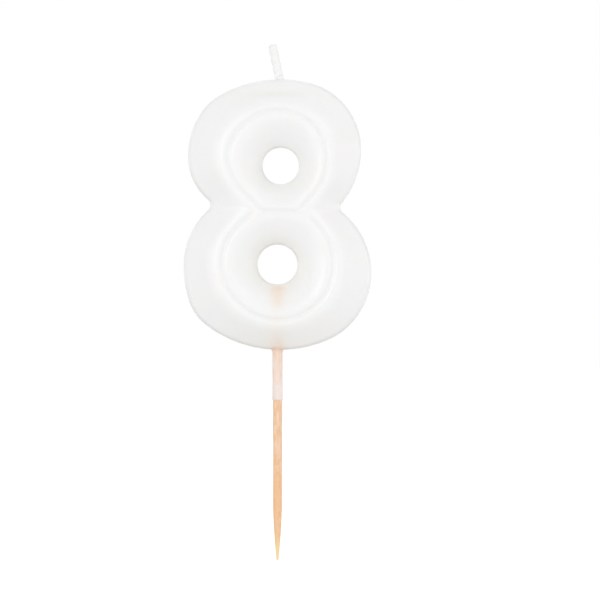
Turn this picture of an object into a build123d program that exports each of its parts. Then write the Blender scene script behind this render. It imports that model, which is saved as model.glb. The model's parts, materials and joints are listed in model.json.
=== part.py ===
from build123d import *
import os
from math import cos, radians, sin

# A birthday candle in the shape of the numeral 8, on a wooden pick.
# Millimetres. +Z runs up the pick towards the wick, -Y is the front face, +X is to the right.
# The origin is on the pick's axis, where the wax film ends and the bare shank begins.
# The back is the mirror image of the front: the numeral is cast round a pick in its middle plane.

# Pick: a round birch pick with one bulging point. Its covered end thins a little, so it beds in the wax.
SHANK_R = 1.08
BARE_SHANK = 24.2
POINT_LENGTH = 13.4
POINT_TIP_R = 0.25
POINT_BULGE = 1.6
POINT_STEPS = 6
COVERED_LENGTH = 26.3
COVERED_END_R = 1.0
COVERED_END_CHAMFER = 0.25

# Dip coat: a harder, glossier wax skin over the cast core. It runs down the pick as a thin film,
# which ends in a thicker band where the dip stopped. The band tapers a little towards both its ends.
SKIN = 0.4
FILM_LENGTH = 11.8
FILM = 0.1
BAND_LENGTH = 3.5
BAND = 0.14
BAND_END = 0.12
BAND_RUN_OUT = 0.5

# Numeral: a closed chain of tangent arcs. Each lobe has an end arc about x, and on each side a shoulder,
# a side and a waist arc. Left and right differ a little, because the numeral isn't quite regular.
# Heights are measured from the numeral's lowest point. A side of a lobe is given by its half-width,
# the height where it is widest, and the radii of its side and waist arcs.
NUMERAL_HEIGHT = 63.2
SIDE_KEYS = ("half_width", "z", "side_r", "waist_r")
UPPER = dict(x=0.6, end_z=NUMERAL_HEIGHT, end_r=28.0)
UPPER_SIDES = {-1: (21.5, 45.2, 18.4, 13.2), 1: (18.9, 46.9, 16.0, 19.8)}
LOWER = dict(x=0.5, end_z=0.0, end_r=28.3)
LOWER_SIDES = {-1: (22.4, 19.6, 28.0, 17.7), 1: (21.4, 18.0, 17.3, 18.0)}
SHOULDER_R = 12.0
NOTCH_R = 1.7

# Section through a stroke: a thin rim, a slope up to the crest, and a funnel down to the hole. The slope
# is even at first and levels out after the share LEVEL of its width. The funnel is steepest at the hole.
RIM_HALF = 1.8
CREST_HALF = 5.75
SLOPE_WIDTH = 8.0
SLOPE_STEPS = 8
LEVEL = 0.55
FUNNEL_BULGE = 2.1

# Holes through the numeral, and the rings along the crests round them: centre x, z and radius.
UPPER_HOLE = (0.75, 43.0, 4.35)
LOWER_HOLE = (0.0, 19.9, 4.75)
UPPER_CREST = (0.0, 44.3, 11.6)
LOWER_CREST = (0.05, 20.0, 13.0)
GROOVE_R = 1.5
GROOVE_DEPTH = 0.5
GROOVE_INSET = 0.15
SEAM_TURN = 33.0
CUT_CLEAR = 2.0

# Wick: three cotton yarns, set in the top of the numeral and leaning to the left.
WICK_R = 1.05
WICK_ROOT_X = 0.5
WICK_LEAN = 12.0
WICK_EXPOSED = 8.2
WICK_EMBEDDED = 12.0
YARNS = 3


def meeting(a, a_gap, b, b_gap, towards):
    """The point at a_gap from a and b_gap from b, on the side of the line a-b that faces towards."""
    across = (b - a).normalized()
    apart = (b - a).length
    along = (a_gap**2 - b_gap**2 + apart**2) / (2 * apart)
    off = across.rotate(Axis.Z, 90) * (a_gap**2 - along**2) ** 0.5
    if off.dot(towards) < 0:
        off = -off
    return a + across * along + off


def lobe_side(hand, x, end_z, end_r, half_width, z, side_r, waist_r):
    """(centre, radius) of the shoulder, side and waist arcs on one side of a lobe."""
    up = 1 if end_z > z else -1
    end = Vector(x, end_z - up * end_r)
    side = Vector(x + hand * (half_width - side_r), z)
    waist = Vector(x + hand * (half_width - waist_r), z)
    outwards = Vector(hand, up)
    shoulder = meeting(side, side_r - SHOULDER_R, end, end_r - SHOULDER_R, outwards)
    return [(shoulder, SHOULDER_R), (side, side_r), (waist, waist_r)]


def flank(hand):
    """The arcs down one side of the numeral, from the upper shoulder to the lower one."""
    upper = lobe_side(hand, **UPPER, **dict(zip(SIDE_KEYS, UPPER_SIDES[hand])))
    lower = lobe_side(hand, **LOWER, **dict(zip(SIDE_KEYS, LOWER_SIDES[hand])))
    (above, above_r), (below, below_r) = upper[-1], lower[-1]
    notch = meeting(above, above_r + NOTCH_R, below, below_r + NOTCH_R, Vector(hand, 0))
    return upper + [(notch, -NOTCH_R)] + lower[::-1]


def outline(inset=0.0):
    """The numeral's silhouette, smaller all round by inset, in x and height.

    A hollow arc has a negative radius. Where two arcs meet they share a normal, and insetting the
    outline changes the radii and leaves the centres and the normals as they are.
    """
    top = (Vector(UPPER["x"], UPPER["end_z"] - UPPER["end_r"]), UPPER["end_r"])
    bottom = (Vector(LOWER["x"], LOWER["end_z"] + LOWER["end_r"]), LOWER["end_r"])
    arcs = [top] + flank(1) + [bottom] + flank(-1)[::-1]
    normals = [(c - a) / (r - s) for (a, r), (c, s) in zip(arcs, arcs[1:] + arcs[:1])]
    edges = []
    for (centre, radius), before, after in zip(arcs, normals[-1:] + normals, normals):
        reach = radius - inset
        middle = (before + after).normalized()
        edges.append(ThreePointArc(*[centre + n * reach for n in (before, middle, after)]))
    return make_face(edges)


def levelling(share):
    """Rise of the outer slope, from 0 at the rim to 1 at the crest."""
    eased = share - max(0.0, share - LEVEL) ** 2 / (2 * (1 - LEVEL))
    return eased / (1 - (1 - LEVEL) / 2)


def flaring(share):
    """Rise of the funnel, from 0 at the hole to 1 at the crest."""
    return 1 - (1 - share) ** FUNNEL_BULGE


def section(rise, inset=0.0):
    """Points along a slope, as (share of its width, half-thickness)."""
    shares = [step / SLOPE_STEPS for step in range(SLOPE_STEPS + 1)]
    return [(share, RIM_HALF - inset + (CREST_HALF - RIM_HALF) * rise(share)) for share in shares]


def pillow(inset=0.0):
    """Front half of the numeral before its holes: a rim, then slopes up to a flat crest."""
    rim = extrude(Plane.XZ * outline(inset), RIM_HALF - inset)
    layers = [
        Plane.XZ.offset(depth) * outline(inset + share * SLOPE_WIDTH)
        for share, depth in section(levelling, inset)
    ]
    return rim + loft(layers, ruled=True)


def funnel(hole, crest, inset=0.0):
    """Cutter for the front half of a hole: a short straight land, then a flare out to the crest ring."""
    flare_width = crest[2] - hole[2]
    cut = Plane.XZ * Pos(hole[0], hole[1]) * Circle(hole[2] + inset)
    rings = []
    for share, depth in section(flaring, inset):
        x = hole[0] + share * (crest[0] - hole[0])
        z = hole[1] + share * (crest[1] - hole[1])
        radius = hole[2] + inset + share * flare_width
        rings.append(Plane.XZ.offset(depth) * Pos(x, z) * Circle(radius))
    return extrude(cut, RIM_HALF - inset) + loft(rings, ruled=True) + extrude(rings[-1], CUT_CLEAR)


def groove(crest, inset=0.0):
    """Cutter for the shallow groove along a crest ring.

    It is turned so that its seam lies clear of the funnel's seam: with the seams in line the cut fails.
    """
    depth = CREST_HALF - inset - GROOVE_DEPTH + GROOVE_R
    ring = Plane.XZ.offset(depth) * Pos(crest[0], crest[1]) * Rot(0, 0, SEAM_TURN)
    return ring * Torus(crest[2] - GROOVE_INSET, GROOVE_R)


def numeral(inset=0.0):
    """The whole numeral, front and back, smaller all round by inset, standing on z = 0."""
    front = pillow(inset)
    for hole, crest in ((UPPER_HOLE, UPPER_CREST), (LOWER_HOLE, LOWER_CREST)):
        front -= funnel(hole, crest, inset)
        front -= groove(crest, inset)
    return Pos(0, 0, FILM_LENGTH) * (front + mirror(front, about=Plane.XZ))


def turned(profile):
    """A solid of revolution about the pick's axis, from (radius, height) points."""
    return revolve(make_face(Polyline([(r, 0, z) for r, z in profile], close=True)), Axis.Z)


def make_pick():
    tip = -BARE_SHANK - POINT_LENGTH
    head = COVERED_LENGTH - COVERED_END_CHAMFER
    shares = [step / POINT_STEPS for step in range(POINT_STEPS + 1)]
    point = [
        (SHANK_R - (SHANK_R - POINT_TIP_R) * (1 - share) ** POINT_BULGE, tip + share * POINT_LENGTH)
        for share in shares
    ]
    return turned([
        (0, tip),
        *point,
        (SHANK_R, 0),
        (COVERED_END_R, head),
        (COVERED_END_R - COVERED_END_CHAMFER, COVERED_LENGTH),
        (0, COVERED_LENGTH),
    ])


def make_film():
    """The wax film on the pick, solid through: its bore is cut with the pick itself."""
    return turned([
        (0, 0),
        (SHANK_R + BAND_END, 0),
        (SHANK_R + BAND, BAND_LENGTH - BAND_RUN_OUT),
        (SHANK_R + FILM, BAND_LENGTH),
        (COVERED_END_R + FILM, FILM_LENGTH + RIM_HALF),
        (0, FILM_LENGTH + RIM_HALF),
    ])


def make_yarns():
    """The wick's yarns, each a third of the wick's round section, side by side along its whole length."""
    lean = radians(WICK_LEAN)
    root = Vector(WICK_ROOT_X, 0, FILM_LENGTH + NUMERAL_HEIGHT)
    along = Vector(-sin(lean), 0, cos(lean))
    foot = Plane(root - along * WICK_EMBEDDED, x_dir=(cos(lean), 0, sin(lean)), z_dir=along)
    share = 360 / YARNS
    third = Cylinder(
        WICK_R,
        WICK_EMBEDDED + WICK_EXPOSED,
        arc_size=share,
        align=(Align.NONE, Align.NONE, Align.MIN),
    )
    return [foot * Rot(0, 0, share * number) * third for number in range(YARNS)]


pick = make_pick()
yarns = make_yarns()
inner = numeral(SKIN)
core = inner - pick
coat = numeral() + make_film() - inner - pick
for yarn in yarns:
    core -= yarn
    coat -= yarn

pieces = {"numeral_core": core, "dip_coat": coat, "pick": pick}
pieces |= {f"wick_yarn_{number}": yarn for number, yarn in enumerate(yarns, start=1)}

os.makedirs("parts", exist_ok=True)
for name, piece in pieces.items():
    export_step(piece, f"parts/{name}.step")
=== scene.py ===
"""The looks of a number birthday candle: a dipped wax numeral 8 on a wooden pick, with a plaited wick.

The frame's axes are used throughout: +Z up the pick, -Y out of the front face, +X to the right.
Shapes are worked out in millimetres and written to meshes in metres. Heights marked "of the numeral"
are measured from its foot, which is FOOT above the origin.
"""

import json
from math import cos, exp, pi, radians, sin

import bmesh
import bpy
import numpy as np
from mathutils import Matrix, Vector


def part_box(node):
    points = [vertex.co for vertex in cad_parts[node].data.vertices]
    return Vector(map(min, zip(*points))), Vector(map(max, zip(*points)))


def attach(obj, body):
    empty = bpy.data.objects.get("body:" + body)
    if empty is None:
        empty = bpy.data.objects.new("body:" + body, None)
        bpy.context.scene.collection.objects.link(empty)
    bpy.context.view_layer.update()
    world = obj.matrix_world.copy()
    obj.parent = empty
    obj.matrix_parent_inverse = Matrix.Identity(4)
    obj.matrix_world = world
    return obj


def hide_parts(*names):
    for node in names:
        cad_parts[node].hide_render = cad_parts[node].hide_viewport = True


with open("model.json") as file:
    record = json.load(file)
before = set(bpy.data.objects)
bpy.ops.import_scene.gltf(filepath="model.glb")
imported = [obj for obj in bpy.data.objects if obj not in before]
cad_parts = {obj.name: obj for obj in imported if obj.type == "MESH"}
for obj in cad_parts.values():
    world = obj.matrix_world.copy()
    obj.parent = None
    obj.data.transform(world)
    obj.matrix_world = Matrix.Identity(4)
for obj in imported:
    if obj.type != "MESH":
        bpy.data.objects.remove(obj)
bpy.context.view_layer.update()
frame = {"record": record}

MM = 0.001

# Sizes taken from the frame.
COAT_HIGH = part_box("dip_coat")[1] / MM
PICK_LOW, PICK_HIGH = (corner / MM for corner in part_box("pick"))
SHANK_R = PICK_HIGH.x
CREST_HALF = COAT_HIGH.y
CORE_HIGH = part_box("numeral_core")[1] / MM
SKIN = COAT_HIGH.z - CORE_HIGH.z

# The numeral's outline, as the CAD has it: a closed chain of tangent arcs. Each lobe has an end arc
# about x, and on each side a shoulder, a side and a waist arc. Heights are of the numeral.
NUMERAL_HEIGHT = 63.2
FOOT = COAT_HIGH.z - NUMERAL_HEIGHT
UPPER = {"x": 0.6, "end_z": NUMERAL_HEIGHT, "end_r": 28.0}
LOWER = {"x": 0.5, "end_z": 0.0, "end_r": 28.3}
SIDE_KEYS = ("half_width", "z", "side_r", "waist_r")
UPPER_SIDES = {-1: (21.5, 45.2, 18.4, 13.2), 1: (18.9, 46.9, 16.0, 19.8)}
LOWER_SIDES = {-1: (22.4, 19.6, 28.0, 17.7), 1: (21.4, 18.0, 17.3, 18.0)}
SHOULDER_R = 12.0
NOTCH_R = 1.7
RIM_HALF = 1.8

# Holes, and the crease rings round them: centre x, height and radius. A short straight bar closes both
# rings at the waist. The upper ring runs straight to the bar's ends instead of round: its corners are given
# as the direction across each straight and its distance from the ring's centre. The lower ring fades out
# near its top, above the height FADE_Z, over the middle FADE_HALF to each side of x FADE_X.
UPPER_HOLE = (0.75, 43.0, 4.35)
LOWER_HOLE = (0.0, 19.9, 4.75)
UPPER_CREASE = (0.0, 44.3, 11.6)
LOWER_CREASE = (0.05, 20.0, 13.0)
BAR_Z = 32.35
UPPER_CORNERS = (((-0.72, -0.69), 11.0), ((0.77, -0.64), 11.5))
FADE_X = 0.6
FADE_HALF = 5.0
FADE_WIDTH = 3.0
FADE_Z = LOWER_CREASE[1] + 7.0
CREASE_DEPTH = 0.76
CREASE_WIDTH = 0.55
CREASE_BLUNTNESS = 0.28
OUTER_EDGE_R = 0.85
HOLE_EDGE_R = 0.55
DIMPLE = {"x": -1.0, "half_length": 9.0, "inset": 2.9, "width": 0.9, "depth": 0.2}

# The slope outside a crease is even up to the share LEVEL of its width. A funnel is steepest at its hole.
LEVEL = 0.55
FUNNEL_BULGE = 2.1

# Wick, pick and film.
WICK_ROOT = Vector((0.5, 0.0, FOOT + NUMERAL_HEIGHT))
WICK_LEAN = radians(12.0)
WICK_EXPOSED = 8.2
WICK_EMBEDDED = 12.0
BARE_SHANK = frame["record"]["mounts"][0]["dims"]["length_mm"]
POINT_BULGE = 1.6
POINT_TIP_R = 0.25
HEAD_R = 1.0
HEAD_CHAMFER = 0.25
FILM = 0.1
BAND = 0.14
BAND_LENGTH = 3.5


# ---------------------------------------------------------------- plane geometry


def unit(v):
    return v / np.linalg.norm(v)


def meeting(a, a_gap, b, b_gap, towards):
    """The point at a_gap from a and b_gap from b, on the side of the line a-b that faces towards."""
    across = unit(b - a)
    apart = np.linalg.norm(b - a)
    along = (a_gap**2 - b_gap**2 + apart**2) / (2 * apart)
    off = np.array([-across[1], across[0]]) * (a_gap**2 - along**2) ** 0.5
    return a + across * along + (off if off @ towards > 0 else -off)


def lobe_side(hand, x, end_z, end_r, half_width, z, side_r, waist_r):
    """(centre, radius) of the shoulder, side and waist arcs on one side of a lobe."""
    up = 1 if end_z > z else -1
    end = np.array([x, end_z - up * end_r])
    side = np.array([x + hand * (half_width - side_r), z])
    waist = np.array([x + hand * (half_width - waist_r), z])
    shoulder = meeting(side, side_r - SHOULDER_R, end, end_r - SHOULDER_R, np.array([hand, up]))
    return [(shoulder, SHOULDER_R), (side, side_r), (waist, waist_r)]


def flank(hand):
    """The arcs down one side of the numeral. A hollow arc has a negative radius."""
    upper = lobe_side(hand, **UPPER, **dict(zip(SIDE_KEYS, UPPER_SIDES[hand])))
    lower = lobe_side(hand, **LOWER, **dict(zip(SIDE_KEYS, LOWER_SIDES[hand])))
    (above, above_r), (below, below_r) = upper[-1], lower[-1]
    notch = meeting(above, above_r + NOTCH_R, below, below_r + NOTCH_R, np.array([hand, 0]))
    return upper + [(notch, -NOTCH_R)] + lower[::-1]


def outline_arcs():
    """(centre, radius, first angle, turn) of each arc, clockwise from the top."""
    top = (np.array([UPPER["x"], UPPER["end_z"] - UPPER["end_r"]]), UPPER["end_r"])
    bottom = (np.array([LOWER["x"], LOWER["end_z"] + LOWER["end_r"]]), LOWER["end_r"])
    arcs = [top] + flank(1) + [bottom] + flank(-1)[::-1]
    normals = [(c - a) / (r - s) for (a, r), (c, s) in zip(arcs, arcs[1:] + arcs[:1])]
    found = []
    for (centre, radius), before, after in zip(arcs, normals[-1:] + normals, normals):
        first = np.arctan2(before[1], before[0])
        turn = wrap(np.arctan2(after[1], after[0]) - first)
        found.append((centre, radius, first, turn))
    return found


def wrap(angle):
    return (angle + pi) % (2 * pi) - pi


ARCS = outline_arcs()


def outline(step=0.6, finest=radians(7)):
    """Points round the outline, their outward normals, and the numbers of the two notch points."""
    points, normals, notches = [], [], []
    for centre, radius, first, turn in ARCS:
        count = 2 * int(np.ceil(max(abs(radius * turn) / step, abs(turn) / finest) / 2))
        if radius < 0:
            notches.append(len(points) + count // 2)
        for angle in first + turn * np.arange(count) / count:
            normal = np.array([cos(angle), sin(angle)])
            points.append(centre + radius * normal)
            normals.append(normal)
    return np.array(points), np.array(normals), notches


def outline_distance(p):
    """Distance in from the outline, for points inside it."""
    nearest = np.full(len(p), 1e3)
    for centre, radius, first, turn in ARCS:
        v = (p - centre) * np.sign(radius)
        share = wrap(np.arctan2(v[:, 1], v[:, 0]) - first) / turn
        gap = radius - np.sign(radius) * np.linalg.norm(v, axis=1)
        inside = (share > -0.001) & (share < 1.001)
        nearest = np.where(inside, np.minimum(nearest, gap), nearest)
    return nearest


def smooth_step(share):
    share = np.clip(share, 0, 1)
    return share * share * (3 - 2 * share)


def smooth_max(a, b, width):
    """The larger of a and b, rounded over where they cross."""
    mix = np.clip(0.5 + 0.5 * (a - b) / width, 0, 1)
    return b + (a - b) * mix + width * mix * (1 - mix)


def upper_gap(p):
    """Distance outside the upper crease."""
    v = p - np.array(UPPER_CREASE[:2])
    reach = np.linalg.norm(v, axis=1)
    rise = v[:, 1] / reach
    towards_left = v @ np.array([cos(radians(205)), sin(radians(205))]) / reach
    radius = UPPER_CREASE[2] + 2.2 * smooth_step((-0.55 - rise) / 0.35)
    gap = reach - radius + 0.5 * np.exp((towards_left - 1) / 0.04)
    for normal, distance in UPPER_CORNERS:
        gap = smooth_max(gap, v @ np.array(normal) - distance, 0.5)
    return smooth_max(gap, BAR_Z - p[:, 1], 0.35)


def lower_gap(p):
    """Distance outside the lower crease."""
    gap = np.linalg.norm(p - np.array(LOWER_CREASE[:2]), axis=1) - LOWER_CREASE[2]
    return smooth_max(gap, p[:, 1] - BAR_Z, 0.35)


def hole_distance(p, hole, inset):
    return np.linalg.norm(p - np.array(hole[:2]), axis=1) - hole[2] - inset


# ---------------------------------------------------------------- the numeral's section


def rounding(distance, radius):
    """How much an edge's rounding takes off the thickness, at a distance in from the edge."""
    share = np.clip(1 - distance / radius, 0, 1)
    return radius * (1 - np.sqrt(np.maximum(0, 1 - share**2)))


def outer_slope(u):
    """Rise from the rim (u = 0) to the crease (u = 1): even, then levelling out over the last part."""
    eased = u - np.clip(u - LEVEL, 0, 1) ** 2 / (2 * (1 - LEVEL))
    return eased / (1 - (1 - LEVEL) / 2)


def inner_slope(v):
    """Rise from a hole (v = 0) to the crease (v = 1): steeper towards the hole."""
    return 1 - (1 - v) ** FUNNEL_BULGE


def unevenness(p, side):
    """The slight waviness of a hand-dipped coat, not the same in front as behind."""
    x, z = p[:, 0] + 3.1 * side, p[:, 1] - 5.3 * side
    slow = np.sin(0.31 * x + 0.23 * z + 0.8) + np.sin(0.27 * z - 0.42 * x + 2.1)
    quick = np.sin(0.83 * x - 0.37 * z + 1.3) * np.sin(0.61 * z + 0.29 * x + 0.4)
    return 0.025 * slow + 0.02 * quick


def thickness(p, side, inset):
    """Half the numeral's thickness at each point of the plane."""
    outside = np.maximum(outline_distance(p) - inset, 0)
    upper, lower = upper_gap(p), lower_gap(p)
    rim, crest = RIM_HALF - inset, CREST_HALF - inset
    beyond = np.maximum(np.minimum(upper, lower), 0)
    height = rim + (crest - rim) * outer_slope(outside / (outside + beyond + 1e-6))
    for gap, hole in ((upper, UPPER_HOLE), (lower, LOWER_HOLE)):
        from_hole = np.maximum(hole_distance(p, hole, inset), 0)
        share = from_hole / (from_hole + np.maximum(-gap, 0) + 1e-6)
        funnel = rim + (crest - rim) * inner_slope(share) - rounding(from_hole, HOLE_EDGE_R)
        height = np.where(gap < 0, funnel, height)
    height -= rounding(outside, OUTER_EDGE_R)
    fade = smooth_step((np.abs(p[:, 0] - FADE_X) - FADE_HALF) / FADE_WIDTH)
    fade = np.where(p[:, 1] > FADE_Z, fade, 1)
    for gap, strength in ((upper, 1.0), (lower, fade)):
        height -= CREASE_DEPTH * strength * np.exp(-np.hypot(gap, CREASE_BLUNTNESS) / CREASE_WIDTH)
    along = np.exp(-(((p[:, 0] - DIMPLE["x"]) / DIMPLE["half_length"]) ** 2)) * (p[:, 1] > UPPER_CREASE[1])
    height -= DIMPLE["depth"] * along * np.exp(-(((outside - DIMPLE["inset"]) / DIMPLE["width"]) ** 2))
    settled = np.clip(np.minimum(outside, 3) / 3, 0, 1)
    return height + settled * unevenness(p, side)


# ---------------------------------------------------------------- meshes


class Skin:
    """A mesh made of loops of points, each joined to the next."""

    def __init__(self):
        self.points, self.faces = [], []

    def loop(self, plane, depths):
        """Adds points from (x, height) pairs and depths (y), and returns their numbers."""
        first = len(self.points)
        depths = np.broadcast_to(depths, len(plane))
        self.points += [(x, y, z) for (x, z), y in zip(plane, depths)]
        return np.arange(first, len(self.points))

    def add(self, points):
        first = len(self.points)
        self.points += [tuple(point) for point in points]
        return np.arange(first, len(self.points))

    def join(self, a, b):
        """Quads between two closed loops of the same length."""
        self.faces += np.stack([a, np.roll(a, -1), np.roll(b, -1), b], axis=1).tolist()

    def cap(self, loop, centre):
        (hub,) = self.add([centre])
        self.faces += [[hub, a, b] for a, b in zip(loop, np.roll(loop, -1))]

    def mesh(self, name):
        """The mesh in metres, with its faces turned outwards."""
        mesh = bpy.data.meshes.new(name)
        mesh.from_pydata((np.array(self.points) * MM).tolist(), [], self.faces)
        built = bmesh.new()
        built.from_mesh(mesh)
        bmesh.ops.recalc_face_normals(built, faces=built.faces)
        built.to_mesh(mesh)
        built.free()
        mesh.polygons.foreach_set("use_smooth", [True] * len(mesh.polygons))
        mesh.update()
        return mesh


def piece(name, mesh, materials, slot, *nodes):
    """A visible piece that stands for some CAD nodes."""
    made = bpy.data.objects.new(name, mesh)
    bpy.context.scene.collection.objects.link(made)
    mesh.materials.clear()
    for material in materials:
        mesh.materials.append(material)
    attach(made, "root")
    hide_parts(*nodes)
    return made


OUTER_BAND = 2.4
HOLE_BAND = 1.2
INNER_ROWS = 22
OUTER_ROWS = 26
CROWDING = 1.4


def edge_steps(radius, width):
    """Distances in from an edge: close together round the edge, then wider."""
    turn = np.radians(np.linspace(0, 90, 9))
    rest = np.linspace(radius, width, 5)[1:]
    return np.concatenate([radius * (1 - np.cos(turn)), rest])


def ray_rows(near, far, gap_function):
    """Shares of the way from near to far for each row, crowded where the way crosses the crease."""
    tries = np.linspace(0, 1, 161)
    crossing = np.empty(len(near))
    for number, (a, b) in enumerate(zip(near, far)):
        gaps = gap_function(a + (b - a) * tries[:, None])
        beyond = np.argmax(gaps > 0)
        step = slice(beyond - 1, beyond + 1)
        crossing[number] = np.interp(0, gaps[step], tries[step]) if beyond else 1
    crossing = np.clip(crossing, 0.3, 0.94)
    inner = 1 - (1 - np.arange(1, INNER_ROWS + 1) / INNER_ROWS) ** CROWDING
    outer = (np.arange(1, OUTER_ROWS) / OUTER_ROWS) ** CROWDING
    rows = [crossing * share for share in inner]
    return rows + [crossing + (1 - crossing) * share for share in outer]


def numeral_half(skin, side, inset):
    """One face of the numeral, and the numbers of its outer edge loop and of its hole edge loops."""
    points, normals, (right, left) = outline()
    heights = [edge_steps(OUTER_EDGE_R, OUTER_BAND), edge_steps(HOLE_EDGE_R, HOLE_BAND)]

    def row(plane):
        lifted = plane + np.array([0, FOOT])
        return skin.loop(lifted, side * thickness(plane, side, inset))

    rows = [row(points - normals * (inset + distance)) for distance in heights[0]]
    for a, b in zip(rows, rows[1:]):
        skin.join(a, b)
    band = points - normals * (inset + OUTER_BAND)
    waist_count = int(np.linalg.norm(band[right] - band[left]) / 0.55)
    shares = np.linspace(0, 1, waist_count + 1)[1:-1, None]
    waist = band[right] + (band[left] - band[right]) * shares
    waist_row = row(waist)
    order = np.arange(len(points))
    over = np.concatenate([order[left:], order[: right + 1]])
    under = order[right : left + 1]
    hole_rows = []
    for hole, gap, around, across, across_row in (
        (UPPER_HOLE, upper_gap, over, waist, waist_row),
        (LOWER_HOLE, lower_gap, under, waist[::-1], waist_row[::-1]),
    ):
        rim = np.concatenate([band[around], across])
        previous = np.concatenate([rows[-1][around], across_row])
        centre = np.array(hole[:2])
        away = rim - centre
        away /= np.linalg.norm(away, axis=1)[:, None]
        near = centre + away * (hole[2] + inset + HOLE_BAND)
        for share in ray_rows(near, rim, gap)[::-1]:
            new = row(near + (rim - near) * share[:, None])
            skin.join(previous, new)
            previous = new
        for distance in heights[1][::-1]:
            new = row(centre + away * (hole[2] + inset + distance))
            skin.join(previous, new)
            previous = new
        hole_rows.append((previous, centre + away * (hole[2] + inset)))
    return (rows[0], points - normals * inset, normals), hole_rows


SEAM_HEIGHT = 0.06
SEAM_WIDTH = 0.22
WALL_DEPTHS = (0.75, 0.5, 0.32, 0.2, 0.1, 0, -0.1, -0.2, -0.32, -0.5, -0.75)


def wall(skin, front, back, plane, outwards, half):
    """The wall between the two faces at an edge, with the soft ridge that the mould's joint left."""
    previous = front
    for share in WALL_DEPTHS:
        depth = -share * half
        ridge = SEAM_HEIGHT / (1 + (depth / SEAM_WIDTH) ** 2)
        new = skin.loop(plane + outwards * ridge + np.array([0, FOOT]), depth)
        skin.join(previous, new)
        previous = new
    skin.join(previous, back)


def numeral_mesh(name, inset=0.0):
    """The whole numeral, smaller all round by inset."""
    skin = Skin()
    (front, plane, normals), front_holes = numeral_half(skin, -1, inset)
    (back, _, _), back_holes = numeral_half(skin, 1, inset)
    wall(skin, front, back, plane, normals, RIM_HALF - inset - OUTER_EDGE_R)
    for (a, ring), (b, _), hole in zip(front_holes, back_holes, (UPPER_HOLE, LOWER_HOLE)):
        inwards = (np.array(hole[:2]) - ring) / (hole[2] + inset)
        wall(skin, a, b, ring, inwards, RIM_HALF - inset - HOLE_EDGE_R)
    return skin.mesh(name)


def lathe(skin, profile, turns, place=Matrix.Identity(4), wobble=None):
    """A closed solid of revolution about z, from (radius, height) pairs, with both ends capped."""
    angles = 2 * pi * np.arange(turns) / turns
    loops = []
    for radius, height in profile:
        reach = radius + (wobble(angles, height) if wobble else 0)
        ring = np.stack([reach * np.cos(angles), reach * np.sin(angles), 0 * angles + height], 1)
        loops.append(skin.add([place @ Vector(point) for point in ring]))
    for a, b in zip(loops, loops[1:]):
        skin.join(a, b)
    for loop, (_, height) in ((loops[0], profile[0]), (loops[-1], profile[-1])):
        skin.cap(loop, place @ Vector((0, 0, height)))


def wick_place():
    """The wick's own axes: its z runs along it, from where it leaves the wax."""
    return Matrix.Translation(WICK_ROOT) @ Matrix.Rotation(-WICK_LEAN, 4, "Y")


def film_mesh():
    """The film on the pick, with a thicker band at its end and a fillet where it joins the numeral."""
    outer = SHANK_R + FILM
    flare = [(outer + 0.75 * exp(-3.2 * t), FOOT + 0.35 - 1.1 * t) for t in np.linspace(1, 0, 9)]
    shaft = [(outer, z) for z in np.linspace(BAND_LENGTH + 0.25, flare[0][1] - 0.4, 14)]
    band = [(SHANK_R + BAND, z) for z in np.linspace(0.12, BAND_LENGTH - 0.25, 8)]
    profile = [(SHANK_R - 0.05, 0), (SHANK_R + 0.06, 0), (SHANK_R + 0.12, 0.04)] + band + shaft + flare
    profile.append((SHANK_R, FOOT + 1.2))

    def runs(angles, height):
        slow = np.sin(3 * angles + 0.5 * height) + np.sin(2 * angles - 0.8 * height + 1.0)
        return 0.012 * slow if height > 0.05 else 0 * angles

    skin = Skin()
    lathe(skin, profile, 48, wobble=runs)
    return skin.mesh("film")


COLLAR_LOW = -0.7
COLLAR_HEIGHT = 1.7
COLLAR_R = 0.8
COLLAR_SPREAD = 0.85
COLLAR_FALL = 2.9
WICK_SOCKET_R = 1.08
WICK_SOCKET_GAP = 0.04


def collar_mesh():
    """The little cone of wax that climbs the wick's foot."""
    profile = []
    for t in np.linspace(0, 1, 14):
        profile.append((COLLAR_R + COLLAR_SPREAD * exp(-COLLAR_FALL * t), COLLAR_LOW + COLLAR_HEIGHT * t))
    skin = Skin()
    lathe(skin, profile, 40, place=wick_place())
    return skin.mesh("collar")


def wick_socket_mesh():
    """The round socket in the core that the plaited wick fills."""
    skin = Skin()
    heights = np.linspace(-WICK_EMBEDDED - WICK_SOCKET_GAP, 1.0, 12)
    lathe(skin, [(WICK_SOCKET_R, height) for height in heights], 48, place=wick_place())
    return skin.mesh("wick_socket")


def combined(operation, base, *others):
    """One closed mesh: base with others joined to it (UNION) or cut out of it (DIFFERENCE)."""
    body = bpy.data.objects.new("combined", base)
    bpy.context.scene.collection.objects.link(body)
    tools = []
    for mesh in others:
        tool = bpy.data.objects.new("tool", mesh)
        bpy.context.scene.collection.objects.link(tool)
        change = body.modifiers.new("change", "BOOLEAN")
        change.operation = operation
        change.solver = "MANIFOLD"
        change.object = tool
        tools.append(tool)
    bpy.context.view_layer.update()
    shape = body.evaluated_get(bpy.context.evaluated_depsgraph_get())
    mesh = bpy.data.meshes.new_from_object(shape)
    for made in [body] + tools:
        bpy.data.objects.remove(made)
    mesh.polygons.foreach_set("use_smooth", [True] * len(mesh.polygons))
    return mesh


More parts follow.
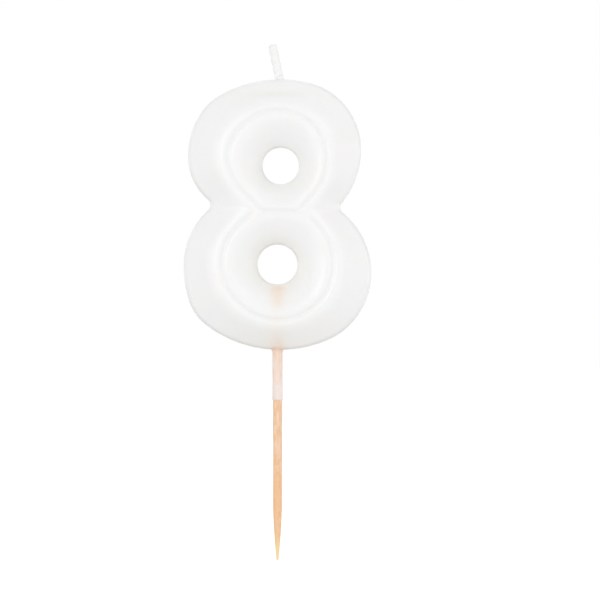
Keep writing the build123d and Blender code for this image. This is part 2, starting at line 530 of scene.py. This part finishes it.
def pick_mesh():
    """The pick: turned and sanded wood, with raised grain and a slightly uneven blunt point."""
    tip, shoulder = PICK_LOW.z, -BARE_SHANK
    taper = shoulder - tip
    profile = [(POINT_TIP_R * 0.55, tip), (POINT_TIP_R * 0.9, tip + 0.1)]
    for t in np.linspace(0.02, 1, 70):
        profile.append((SHANK_R - (SHANK_R - POINT_TIP_R) * (1 - t) ** POINT_BULGE, tip + taper * t))
    profile += [(SHANK_R, z) for z in np.linspace(shoulder, 0, 100)[1:]]
    head = PICK_HIGH.z - HEAD_CHAMFER
    profile += [(SHANK_R + (HEAD_R - SHANK_R) * z / head, z) for z in np.linspace(0, head, 30)[1:]]
    profile.append((HEAD_R - HEAD_CHAMFER, PICK_HIGH.z))

    def grain(angles, height):
        bare = min(1.0, max(0.0, -height / 0.5)) * min(1.0, (height - tip) / 3)
        ridges = np.sin(17 * angles + 0.35 * sin(0.21 * height))
        ridges += np.sin(9 * angles + 1.0 + 0.6 * sin(0.13 * height + 1.0))
        ridges += 0.7 * np.sin(29 * angles + 2.0 + 0.4 * sin(0.3 * height))
        shape = 0.02 * np.sin(2 * angles + 0.08 * height) + 0.012 * np.sin(3 * angles - 0.11 * height)
        return bare * (0.006 * ridges + shape) - 0.012 * bare

    skin = Skin()
    lathe(skin, profile, 96, wobble=grain)
    return skin.mesh("pick")


YARN_R = 0.7
PLAIT_WIDTH = 0.34
PLAIT_DEPTH = 0.22
PLAIT_PITCH = 6.0
PLIES = 3


def yarn_mesh(number):
    """One of the wick's three plaited yarns: three plies twisted together, stiffened with wax."""
    place = wick_place()
    length = WICK_EMBEDDED + WICK_EXPOSED
    rows, around = 150, 24
    skin = Skin()
    centres = []
    for t in np.linspace(0, 1, rows):
        height = t * length - WICK_EMBEDDED
        phase = 2 * pi * (height / PLAIT_PITCH + number / 3)
        centres.append(Vector((PLAIT_WIDTH * sin(phase), PLAIT_DEPTH * sin(2 * phase), height)))
    loops = []
    for row, centre in enumerate(centres):
        along = (centres[min(row + 1, rows - 1)] - centres[max(row - 1, 0)]).normalized()
        side = along.cross(Vector((0, 1, 0))).normalized()
        front = side.cross(along)
        ring = []
        end = min(row, rows - 1 - row)
        worn = (0.8, 0.95)[end] if end < 2 else 1.0
        for step in range(around):
            angle = 2 * pi * step / around
            ply = 0.012 * cos(PLIES * (angle + 0.9 * centre.z))
            reach = YARN_R * (1 + ply) * worn
            ring.append(place @ (centre + (side * cos(angle) + front * sin(angle)) * reach))
        loops.append(skin.add(ring))
    for a, b in zip(loops, loops[1:]):
        skin.join(a, b)
    skin.cap(loops[0], place @ centres[0])
    skin.cap(loops[-1], place @ centres[-1])
    return skin.mesh(f"yarn_{number + 1}")


# ---------------------------------------------------------------- materials


class Graph:
    """A material's nodes. Each call adds one node and returns its first output."""

    def __init__(self, name):
        self.material = bpy.data.materials.new(name)
        self.material.use_nodes = True
        self.tree = self.material.node_tree
        self.shader = self.tree.nodes["Principled BSDF"]
        coordinates = self.tree.nodes.new("ShaderNodeTexCoord").outputs["Object"]
        self.place = self.vector("SCALE", coordinates, scale=1 / MM)
        split = self.tree.nodes.new("ShaderNodeSeparateXYZ")
        self.tree.links.new(self.place, split.inputs[0])
        self.x, self.y, self.z = split.outputs

    def feed(self, socket, value):
        if isinstance(value, bpy.types.NodeSocket):
            self.tree.links.new(value, socket)
        else:
            socket.default_value = value

    def math(self, operation, *values, clamp=False):
        node = self.tree.nodes.new("ShaderNodeMath")
        node.operation = operation
        node.use_clamp = clamp
        for socket, value in zip(node.inputs, values):
            self.feed(socket, value)
        return node.outputs[0]

    def vector(self, operation, *values, scale=1.0):
        node = self.tree.nodes.new("ShaderNodeVectorMath")
        node.operation = operation
        for socket, value in zip(node.inputs, values):
            self.feed(socket, value)
        if operation == "SCALE":
            node.inputs[3].default_value = scale
        return node.outputs[0]

    def noise(self, stretch, detail=2.0, roughness=0.5, place=None):
        """Noise from 0 to 1, with its features about 1 / stretch millimetres long on each axis."""
        scaled = self.vector("MULTIPLY", place or self.place, stretch)
        node = self.tree.nodes.new("ShaderNodeTexNoise")
        self.feed(node.inputs["Vector"], scaled)
        node.inputs["Scale"].default_value = 1.0
        node.inputs["Detail"].default_value = detail
        node.inputs["Roughness"].default_value = roughness
        return node.outputs["Fac"]

    def steps(self, value, low, high, out_low=0.0, out_high=1.0):
        """value, taken from the range low-high to the range out_low-out_high, smoothly and clamped."""
        node = self.tree.nodes.new("ShaderNodeMapRange")
        node.interpolation_type = "SMOOTHSTEP"
        for socket, number in zip(node.inputs, (value, low, high, out_low, out_high)):
            self.feed(socket, number)
        return node.outputs[0]

    def mix(self, share, a, b):
        """Colour a, going over to colour b by share."""
        node = self.tree.nodes.new("ShaderNodeMix")
        node.data_type = "RGBA"
        colours = [socket for socket in node.inputs if socket.type == "RGBA"]
        self.feed(node.inputs["Factor"], share)
        for socket, colour in zip(colours, (a, b)):
            self.feed(socket, colour if isinstance(colour, bpy.types.NodeSocket) else (*colour, 1.0))
        return next(socket for socket in node.outputs if socket.type == "RGBA")

    def bump(self, height, strength, distance):
        node = self.tree.nodes.new("ShaderNodeBump")
        self.feed(node.inputs["Height"], height)
        node.inputs["Strength"].default_value = strength
        node.inputs["Distance"].default_value = distance * MM
        self.feed(self.shader.inputs["Normal"], node.outputs[0])

    def bell(self, value, centre, width):
        """1 where value is centre, falling away on both sides."""
        off = self.math("DIVIDE", self.math("SUBTRACT", value, centre), width)
        return self.math("EXPONENT", self.math("MULTIPLY", self.math("MULTIPLY", off, off), -1.0))

    def finish(self, colour, roughness, **constants):
        self.feed(self.shader.inputs["Base Color"], colour)
        self.feed(self.shader.inputs["Roughness"], roughness)
        for name, value in constants.items():
            self.shader.inputs[name.replace("_", " ")].default_value = value
        return self.material


WAX = (0.955, 0.955, 0.95)
# The darker wax colour: the paraffin's random cloudiness, and also painted shade round the holes, towards
# the foot and in the shallow groove near the top.
WAX_MOTTLE_AND_SHADE = (0.905, 0.893, 0.855)
WOOD = (0.92, 0.595, 0.37)
WOOD_LIGHT = (0.96, 0.73, 0.57)
WOOD_DARK = (0.82, 0.4, 0.16)
WOOD_DEEP = (0.95, 0.56, 0.29)
WOOD_POINT = (0.98, 0.77, 0.42)


def wood_colour(graph):
    """Straight-grained birch: fine dark fibres, broader pale streaks and a few flecks."""
    streaks = graph.noise((1.6, 1.6, 0.3), detail=3.0, roughness=0.6)
    fibres = graph.noise((8.0, 8.0, 0.5), detail=2.0)
    flecks = graph.noise((1.3, 1.3, 0.6), detail=2.0, roughness=0.6)
    colour = graph.mix(graph.steps(streaks, 0.35, 0.65), WOOD, WOOD_LIGHT)
    lower = graph.steps(graph.z, -22.0, -8.0, 0.7, 0.0)
    colour = graph.mix(lower, colour, WOOD_DEEP)
    colour = graph.mix(graph.steps(fibres, 0.52, 0.75, 0.0, 0.4), colour, WOOD_DARK)
    colour = graph.mix(graph.steps(flecks, 0.45, 0.68, 0.0, 0.36), colour, WOOD_DARK)
    near_point = graph.steps(graph.z, PICK_LOW.z + 1.0, PICK_LOW.z + 8.0, 0.85, 0.0)
    return graph.mix(near_point, colour, WOOD_POINT), fibres


def wax_material():
    """White dipped paraffin, satin and a little translucent. The pick shows through where little wax covers
    it. Painted shade darkens it round the holes, towards the foot and in the shallow groove near the top.
    """
    graph = Graph("dipped_wax")
    clouds = graph.noise((0.11, 0.11, 0.11), detail=3.0)
    colour = graph.mix(graph.steps(clouds, 0.3, 0.7, 0.0, 0.18), WAX, WAX_MOTTLE_AND_SHADE)
    # Painted shade: each hole gets a darker ring, standing for the shade on its steep funnel and for the
    # light that the narrow wax there lets through.
    for (x, height, radius), hole_shade_strength in ((UPPER_HOLE, 0.4), (LOWER_HOLE, 0.75)):
        off = graph.vector("SUBTRACT", graph.place, (x, 0.0, height + FOOT))
        flat = graph.vector("MULTIPLY", off, (1.0, 0.0, 1.0))
        node = graph.tree.nodes.new("ShaderNodeVectorMath")
        node.operation = "LENGTH"
        graph.feed(node.inputs[0], flat)
        hole_shade = graph.steps(node.outputs["Value"], radius, radius + 3.6, hole_shade_strength, 0.0)
        colour = graph.mix(hole_shade, colour, WAX_MOTTLE_AND_SHADE)
    # Painted shade: the wax is darker towards the numeral's foot, where its slopes face down, away from the
    # light.
    low = graph.steps(graph.z, FOOT, FOOT + 11.0, 0.6, 0.0)
    colour = graph.mix(low, colour, WAX_MOTTLE_AND_SHADE)
    # Painted shade along the shallow groove near the top.
    dimple_z = FOOT + NUMERAL_HEIGHT - DIMPLE["inset"] - 0.6
    dimple_shade = graph.math("MULTIPLY", graph.bell(graph.x, DIMPLE["x"], DIMPLE["half_length"]),
                        graph.bell(graph.z, dimple_z, DIMPLE["width"]))
    colour = graph.mix(graph.math("MULTIPLY", dimple_shade, 0.6), colour, WAX_MOTTLE_AND_SHADE)
    cover = graph.math("MAXIMUM", graph.math("SUBTRACT", graph.math("ABSOLUTE", graph.y), 1.0), 0.0)
    depth = graph.math("EXPONENT", graph.math("MULTIPLY", cover, -0.6))
    width = graph.bell(graph.x, 0.0, 1.9)
    below_head = graph.steps(graph.z, PICK_HIGH.z - 0.6, PICK_HIGH.z + 1.2, 1.0, 0.0)
    glow = graph.math("MULTIPLY", graph.math("MULTIPLY", depth, width), below_head)
    uneven = graph.steps(graph.noise((0.8, 0.8, 0.5), detail=2.0), 0.3, 0.7, 0.7, 1.0)
    glow = graph.math("MULTIPLY", graph.math("MULTIPLY", glow, uneven), 1.0, clamp=True)
    foot_glow = graph.math("MULTIPLY", graph.bell(graph.x, 0.0, 4.5), graph.bell(graph.z, FOOT, 3.0))
    colour = graph.mix(graph.math("MULTIPLY", foot_glow, 0.055), colour, WOOD)
    head_glow = graph.math("MULTIPLY", graph.bell(graph.x, 0.0, 2.1), below_head)
    head_glow = graph.math("MULTIPLY", head_glow, graph.steps(graph.z, PICK_HIGH.z - 6.0, PICK_HIGH.z - 3.2))
    colour = graph.mix(graph.math("MULTIPLY", head_glow, 0.22), colour, WOOD)
    colour = graph.mix(glow, colour, WOOD)
    return graph.finish(
        colour,
        0.3,
        Subsurface_Weight=0.3,
        Subsurface_Radius=(1.0, 0.9, 0.75),
        Subsurface_Scale=0.8 * MM,
        IOR=1.44,
        Specular_IOR_Level=0.5,
    )


def film_material():
    """Wax film over the pick: the wood shows through it, and less through the band at its end."""
    graph = Graph("wax_film")
    wood, _ = wood_colour(graph)
    ragged = graph.noise((1.1, 1.1, 0.6), detail=2.0)
    edge = graph.math("ADD", graph.z, graph.math("MULTIPLY", ragged, -1.0))
    band = graph.steps(edge, BAND_LENGTH - 0.8, BAND_LENGTH - 0.2, 0.74, 0.5)
    top = graph.steps(graph.z, FOOT - 4.0, FOOT, 0.0, -0.15)
    runs = graph.steps(graph.noise((2.2, 2.2, 0.15), detail=2.0), 0.3, 0.7, -0.08, 0.08)
    cover = graph.math("ADD", graph.math("ADD", band, top), runs, clamp=True)
    colour = graph.mix(cover, wood, (0.93, 0.87, 0.88))
    graph.bump(ragged, 0.15, 0.1)
    return graph.finish(
        colour,
        0.36,
        Subsurface_Weight=0.15,
        Subsurface_Radius=(1.0, 0.8, 0.6),
        Subsurface_Scale=0.5 * MM,
        IOR=1.44,
    )


def core_material():
    """The cast core: chalky paraffin, duller than its dip coat."""
    graph = Graph("cast_wax")
    crystals = graph.noise((0.6, 0.6, 0.6), detail=5.0, roughness=0.6)
    colour = graph.mix(graph.steps(crystals, 0.3, 0.7), (0.93, 0.925, 0.9), (0.88, 0.87, 0.83))
    graph.bump(crystals, 0.3, 0.2)
    return graph.finish(colour, 0.6, IOR=1.44)


def wood_material():
    graph = Graph("birch")
    colour, fibres = wood_colour(graph)
    graph.bump(fibres, 0.35, 0.05)
    return graph.finish(colour, 0.62, IOR=1.5)


def wick_material():
    """Bleached cotton stiffened with wax, with fibres along the yarn."""
    graph = Graph("waxed_cotton")
    fibres = graph.noise((3.2, 3.2, 0.5), detail=1.0)
    colour = graph.mix(graph.steps(fibres, 0.35, 0.7, 0.0, 0.4), (0.95, 0.95, 0.945), (0.92, 0.92, 0.91))
    return graph.finish(colour, 0.6, IOR=1.45)


# ---------------------------------------------------------------- stage


# The picture's centre and its width across the candle in millimetres, and the camera's distance in metres.
VIEW_CENTRE = Vector((5.27, 0.0, 23.4))
VIEW_WIDTH = 140.6
CAMERA_DISTANCE = 1.1

EVEN_LIGHT = 0.635

# Lights one metre from the candle: where they stand, their size in metres and their power in watts.
LIGHTS = {
    "key_left": ((-0.3, -1.0, 0.12), 0.3, 1.25),
    "key_right": ((0.4, -1.0, 0.35), 0.3, 0.65),
    "left": ((-0.7, -1.0, 0.0), 0.5, 1.2),
    "fill": ((0.3, -1.0, -0.15), 0.5, 0.65),
    "right": ((1.0, -0.15, 0.0), 0.6, 1.3),
    "top": ((0.0, -0.15, 1.0), 0.6, 0.35),
    "back_top": ((0.0, 0.7, 1.0), 0.6, 1.0),
    "back_left": ((-1.0, 0.7, 0.2), 0.6, 1.0),
    "back_right": ((1.0, 0.7, -0.2), 0.6, 1.0),
}


def backdrop_world():
    """A white studio: white to the eye, with an even light a little below white."""
    world = bpy.data.worlds.new("studio")
    bpy.context.scene.world = world
    world.use_nodes = True
    tree = world.node_tree
    tree.nodes.clear()
    output = tree.nodes.new("ShaderNodeOutputWorld")
    switch = tree.nodes.new("ShaderNodeMixShader")
    seen = tree.nodes.new("ShaderNodeBackground")
    light = tree.nodes.new("ShaderNodeBackground")
    rays = tree.nodes.new("ShaderNodeLightPath")
    tree.links.new(rays.outputs["Is Camera Ray"], switch.inputs[0])
    tree.links.new(light.outputs[0], switch.inputs[1])
    tree.links.new(seen.outputs[0], switch.inputs[2])
    tree.links.new(switch.outputs[0], output.inputs[0])
    for background, strength in ((seen, 1.0), (light, EVEN_LIGHT)):
        background.inputs["Color"].default_value = (1, 1, 1, 1)
        background.inputs["Strength"].default_value = strength


def soft_light(name, centre, direction, size, power):
    """A square soft light, aimed at centre from a direction."""
    data = bpy.data.lights.new(name, "AREA")
    data.shape = "SQUARE"
    data.size = size
    data.energy = power
    lamp = bpy.data.objects.new(name, data)
    lamp.location = centre + Vector(direction).normalized()
    lamp.rotation_euler = (centre - lamp.location).to_track_quat("-Z", "Y").to_euler()
    lamp.visible_camera = False
    bpy.context.scene.collection.objects.link(lamp)


def floor(height):
    mesh = bpy.data.meshes.new("floor")
    reach = 3.0
    corners = [(x * reach, y * reach, height) for x, y in ((-1, -1), (1, -1), (1, 1), (-1, 1))]
    mesh.from_pydata(corners, [], [(0, 1, 2, 3)])
    graph = Graph("floor")
    grey = graph.steps(graph.noise((0.02, 0.02, 0.02)), 0.3, 0.7, 0.9, 0.92)
    shade = graph.tree.nodes.new("ShaderNodeCombineColor")
    for socket in shade.inputs:
        graph.feed(socket, grey)
    graph.finish(shade.outputs[0], 0.9, Emission_Color=(1, 1, 1, 1), Emission_Strength=0.45)
    mesh.materials.append(graph.material)
    made = bpy.data.objects.new("floor", mesh)
    bpy.context.scene.collection.objects.link(made)
    made.visible_diffuse = False
    made.visible_glossy = False
    made.visible_shadow = False


def camera(target, width, distance):
    """A long lens square on to the front face, whose picture is width across at the candle."""
    data = bpy.data.cameras.new("camera")
    data.sensor_width = 36.0
    data.lens = data.sensor_width * distance / width
    data.clip_start = 0.05
    made = bpy.data.objects.new("camera", data)
    made.location = target + Vector((0, -distance, 0))
    made.rotation_euler = (pi / 2, 0, 0)
    bpy.context.scene.collection.objects.link(made)
    bpy.context.scene.camera = made


# ---------------------------------------------------------------- the candle

scene = bpy.context.scene
scene.view_settings.view_transform = "Standard"

wax, film = wax_material(), film_material()
coat = combined("UNION", numeral_mesh("coat"), film_mesh(), collar_mesh())
piece("coat", coat, [wax, film], "coat_wax", "dip_coat")
coat.polygons.foreach_set("material_index", [face.center.z < (FOOT - 0.1) * MM for face in coat.polygons])
core = combined("DIFFERENCE", numeral_mesh("core", SKIN), pick_mesh(), wick_socket_mesh())
piece("core", core, [core_material()], "core_wax", "numeral_core")
piece("wooden_pick", pick_mesh(), [wood_material()], "birch", "pick")
cotton = wick_material()
for number in range(3):
    piece(f"yarn_{number + 1}", yarn_mesh(number), [cotton], "cotton", f"wick_yarn_{number + 1}")

numeral_middle = Vector((0.0, 0.0, FOOT + NUMERAL_HEIGHT / 2)) * MM
backdrop_world()
floor(PICK_LOW.z * MM)
for name, (direction, size, power) in LIGHTS.items():
    soft_light(name, numeral_middle, direction, size, power)
camera(VIEW_CENTRE * MM, VIEW_WIDTH * MM, CAMERA_DISTANCE)
